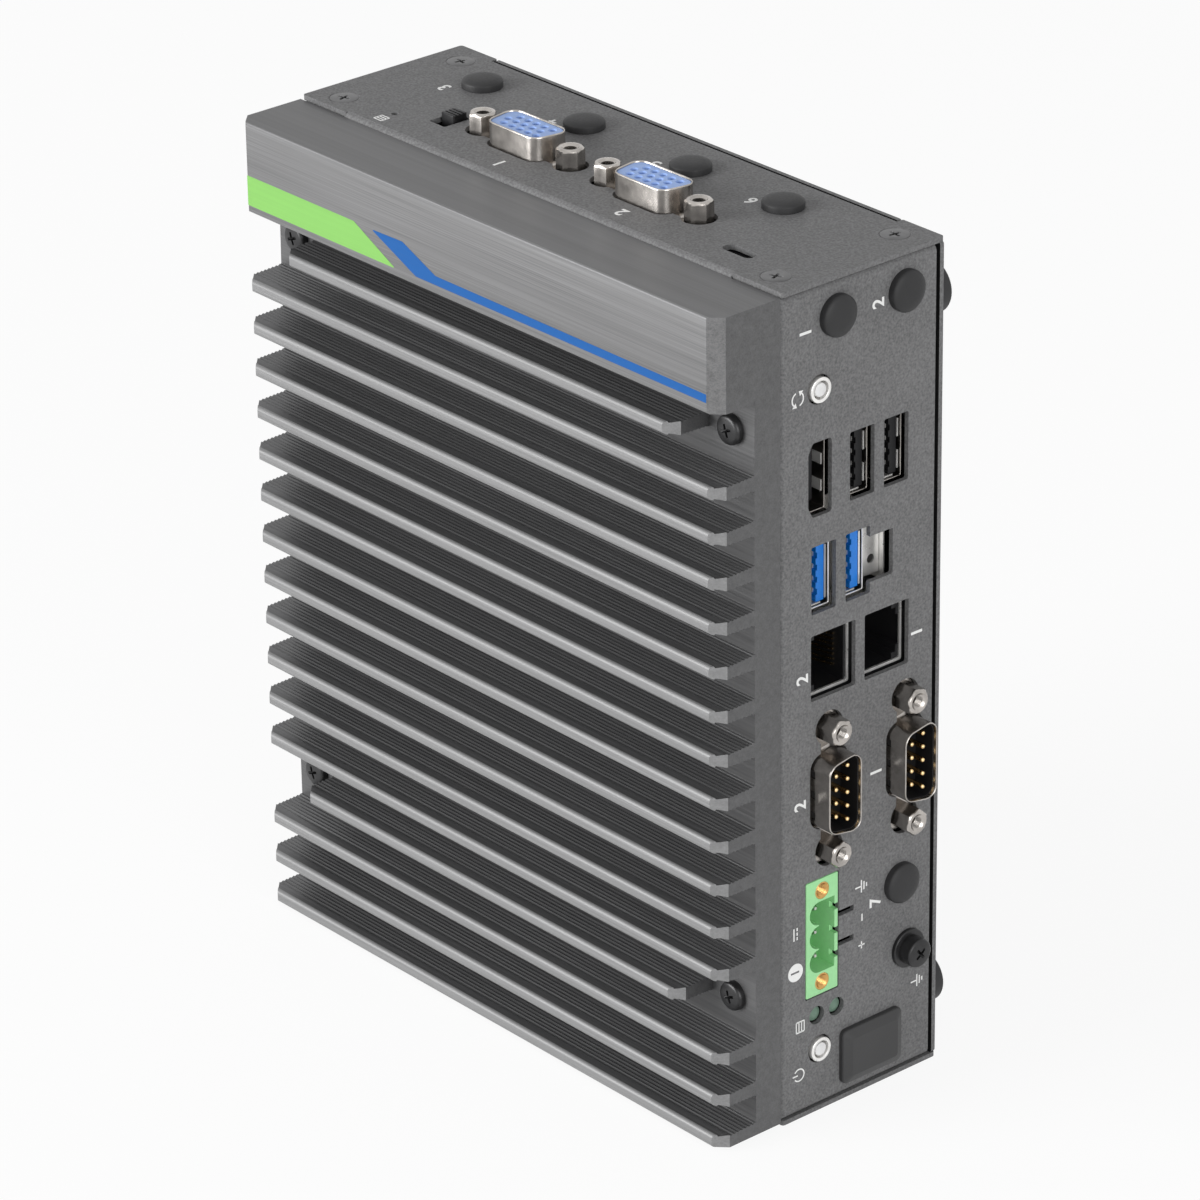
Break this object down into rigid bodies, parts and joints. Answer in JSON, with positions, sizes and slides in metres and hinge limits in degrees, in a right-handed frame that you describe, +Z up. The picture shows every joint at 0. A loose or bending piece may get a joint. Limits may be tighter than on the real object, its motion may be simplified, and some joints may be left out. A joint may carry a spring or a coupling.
{
  "type": "fanless industrial computer",
  "caption": "Compact fanless industrial computer: sheet-metal case closed by a finned heatsink, with ports on one side and on top, buttons, power header and rubber feet.",
  "frame": {"origin": "middle of the case's footprint, on the underside of the bottom panel; the feet on the back cover aren't counted", "axes": "+X is the connector side, -Y is the fin tips, +Y is the back cover with its feet, +Z is up"},
  "size_m": [0.139, 0.06, 0.1726],
  "materials": {
    "heatsink_finish": "brushed, dark anodised",
    "case_paint": "fine powder coat",
    "screw_black": "black oxide",
    "screw_steel": "zinc plated",
    "rubber_black": "matt",
    "nickel": "nickel plated",
    "plastic_black": "matt",
    "plastic_blue": "satin",
    "plastic_violet": "satin",
    "plastic_green": "satin",
    "lamp_clear": "translucent",
    "brass": "machined",
    "gold_contact": "gold plated",
    "board_green": "solder resist",
    "chip_black": "moulded",
    "pad_grey": "soft pad",
    "heat_aluminium": "milled"
  },
  "bodies": {
    "case": {"antenna_plug_1": "rubber_black", "antenna_plug_2": "rubber_black", "antenna_plug_3": "rubber_black", "antenna_plug_4": "rubber_black", "antenna_plug_5": "rubber_black", "antenna_plug_6": "rubber_black", "antenna_plug_7": "rubber_black", "back_cover": "case_paint", "black_data_shell": "nickel", "black_data_tongues": "plastic_black", "blue_data_shell": "nickel", "blue_data_tongues": "plastic_blue", "board_screws": "screw_steel", "board_standoffs": "screw_steel", "boot_switch_body": "plastic_black", "bottom_panel": "case_paint", "chassis_frame": "case_paint", "coin_cell": "screw_steel", "coin_cell_holder": "plastic_black", "drive_module": "board_green", "drive_socket": "plastic_black", "flash_socket": "plastic_black", "ground_screw": "screw_black", "ground_washer": "screw_black", "header_inserts": "brass", "header_pins": "screw_steel", "heat_block": "heat_aluminium", "heatsink": "heatsink_finish", "heatsink_screws": "screw_black", "jackscrews": "nickel", "mainboard": "board_green", "memory_module": "board_green", "memory_socket": "plastic_black", "network_body": "plastic_black", "network_contacts": "gold_contact", "network_shield": "nickel", "panel_screws": "screw_black", "port_cover": "rubber_black", "power_button_body": "nickel", "power_header": "plastic_green", "processor": "chip_black", "reset_button_body": "nickel", "rubber_feet": "rubber_black", "serial_pins": "gold_contact", "serial_port_1_insert": "plastic_black", "serial_port_1_shell": "nickel", "serial_port_2_insert": "plastic_black", "serial_port_2_shell": "nickel", "status_lamps": "lamp_clear", "thermal_pad": "pad_grey", "top_panel": "case_paint", "top_port_1_insert": "plastic_violet", "top_port_1_shell": "nickel", "top_port_2_insert": "plastic_violet", "top_port_2_shell": "nickel", "video_body": "plastic_black", "video_shell": "nickel"},
    "power_button": {"power_button_cap": "nickel"},
    "reset_button": {"reset_button_cap": "nickel"},
    "boot_switch": {"boot_switch_knob": "plastic_black"}
  },
  "joints": [
    {"name": "power_button_press", "type": "slide", "parent": "case", "child": "power_button", "axis": [-1, 0, 0], "range_m": [0, 0.0004], "stiffness_N_per_m": 800, "springref_m": -0.0004},
    {"name": "reset_button_press", "type": "slide", "parent": "case", "child": "reset_button", "axis": [-1, 0, 0], "range_m": [0, 0.0004], "stiffness_N_per_m": 800, "springref_m": -0.0004},
    {"name": "boot_switch_slide", "type": "slide", "parent": "case", "child": "boot_switch", "axis": [0, -1, 0], "range_m": [0, 0.0022]}
  ]
}
